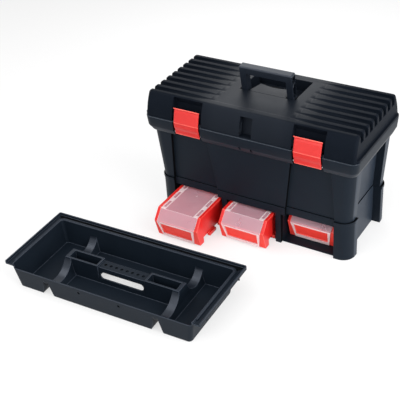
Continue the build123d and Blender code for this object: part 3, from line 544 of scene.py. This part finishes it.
def cover_ladders(middles, ways):
    """The cover's raised ladders and gate mark, and its frame around the label, which take the edges' painted
    glow.
    """
    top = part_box("cover_left")[1][2] / MM - 0.4
    return (middles[:, 2] > top) | (ways[:, 1] < -0.9)


def label_plates(middles, ways):
    """The fronts of the bins, behind the covers' frames, painted lighter as light on them."""
    return (ways[:, 1] < -0.9) & (middles[:, 2] < 50)


for side in ("left", "middle", "right"):
    moulded_copy(f"bin_{side}", f"bin_{side}", red_plastic, 0.6, [(red_label_painted_light, label_plates)])
    moulded_copy(f"cover_{side}", f"cover_{side}", clear_plastic_painted_pink, 0.3, [(clear_edge_painted_glow, cover_ladders)])
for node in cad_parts:
    if "pin" in node or "screw" in node:
        metal_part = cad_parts[node]
        metal_part.data.materials.clear()
        metal_part.data.materials.append(zinc_steel)


# Stage: pale floor, soft studio light, and the photograph's viewpoint

def background_rays(tree):
    """One for the rays that show the background: the camera's, and those of reflections and of clear
    plastic."""
    light_path = add_node(tree, "ShaderNodeLightPath", {})
    seen = light_path.outputs["Is Camera Ray"]
    for ray in ("Is Glossy Ray", "Is Transmission Ray"):
        seen = add_node(tree, "ShaderNodeMath", {0: seen, 1: light_path.outputs[ray]},
                        operation="MAXIMUM").outputs["Value"]
    return seen


def pale_floor(half_width):
    """A flat square far larger than the object, a hair under its feet."""
    mesh = bpy.data.meshes.new("studio_floor")
    corner = np.array([(-1, -1, 0), (1, -1, 0), (1, 1, 0), (-1, 1, 0)], float) * half_width
    corner[:, 2] = -0.3 * MM
    mesh.from_pydata(corner, [], [(0, 1, 2, 3)])
    floor = bpy.data.objects.new("studio_floor", mesh)
    scene.collection.objects.link(floor)
    material, tree = empty_material("matt_white_paper")
    seen = background_rays(tree)
    shade = add_node(tree, "ShaderNodeMix", {
        "Factor": seen, "A": linear("#f2f2f2"), "B": linear("#aaaaaa")}, data_type="RGBA")
    paper = add_node(tree, "ShaderNodeBsdfDiffuse", {"Color": shade.outputs["Result"]})
    level = add_node(tree, "ShaderNodeMath", {0: seen, 1: 0.58}, operation="MULTIPLY")
    glow = add_node(tree, "ShaderNodeEmission", {
        "Color": linear("#ffffff"), "Strength": level.outputs["Value"]})
    both = add_node(tree, "ShaderNodeAddShader", {0: paper.outputs["BSDF"], 1: glow.outputs["Emission"]})
    add_node(tree, "ShaderNodeOutputMaterial", {"Surface": both.outputs["Shader"]})
    mesh.materials.append(material)


def studio_world(ambient):
    """Even ambient light; the camera, reflections and clear plastic see a plain pale backdrop."""
    world = bpy.data.worlds.new("studio")
    scene.world = world
    world.use_nodes = True
    tree = world.node_tree
    tree.nodes.clear()
    level = add_node(tree, "ShaderNodeMapRange", {
        "Value": background_rays(tree), "To Min": ambient, "To Max": 0.8})
    sky = add_node(tree, "ShaderNodeBackground", {"Color": linear("#ffffff"),
                                                  "Strength": level.outputs["Result"]})
    add_node(tree, "ShaderNodeOutputWorld", {"Surface": sky.outputs["Background"]})


def soft_box(name, place, aim, size, power):
    """A square soft light at a place, turned towards a point."""
    lamp = bpy.data.lights.new(name, "AREA")
    lamp.shape = "SQUARE"
    lamp.size = size
    lamp.energy = power
    holder = bpy.data.objects.new(name, lamp)
    scene.collection.objects.link(holder)
    holder.location = place
    holder.rotation_euler = (Vector(aim) - Vector(place)).to_track_quat("-Z", "Y").to_euler()


def photo_camera(azimuth, elevation, roll, distance, offset, focal_pixels):
    """The camera that sees the object as the photograph does: it looks along one direction, rolled a little,
    and stands aside by the offset in its own right and down directions. The image is 400 pixels wide."""
    az, el, turn = np.radians((azimuth, elevation, roll))
    back = np.array((np.sin(az) * np.cos(el), -np.cos(az) * np.cos(el), np.sin(el)))
    right = np.cross(-back, (0, 0, 1))
    right = right / np.linalg.norm(right)
    up = np.cross(right, -back)
    right, up = np.cos(turn) * right + np.sin(turn) * up, -np.sin(turn) * right + np.cos(turn) * up
    place = np.array((0, 0, 0.16)) + back * distance - right * offset[0] + up * offset[1]
    lens = bpy.data.cameras.new("photo_camera")
    lens.sensor_width = 36.0
    lens.lens = focal_pixels / 400 * lens.sensor_width
    camera = bpy.data.objects.new("photo_camera", lens)
    scene.collection.objects.link(camera)
    pose = np.eye(4)
    pose[:3, 0], pose[:3, 1], pose[:3, 2], pose[:3, 3] = right, up, back, place
    camera.matrix_world = Matrix(pose.tolist())
    scene.camera = camera


pale_floor(6.0)
studio_world(0.5)
soft_box("key_above", (-1.2, -0.7, 1.75), (-0.05, -0.2, 0.1), 1.2, 11)
soft_box("rim_behind", (-0.55, 1.02, 0.92), (0, 0, 0.3), 0.7, 4)
soft_box("fill_front", (0.0, -1.9, 1.4), (0, -0.2, 0.1), 1.6, 21)
soft_box("fill_right", (2.0, -0.35, 1.15), (0, -0.2, 0.1), 2.2, 58)
photo_camera(33.65, 33.92, -4.44, 2.138, (0.1659, -0.1057), 917.3)
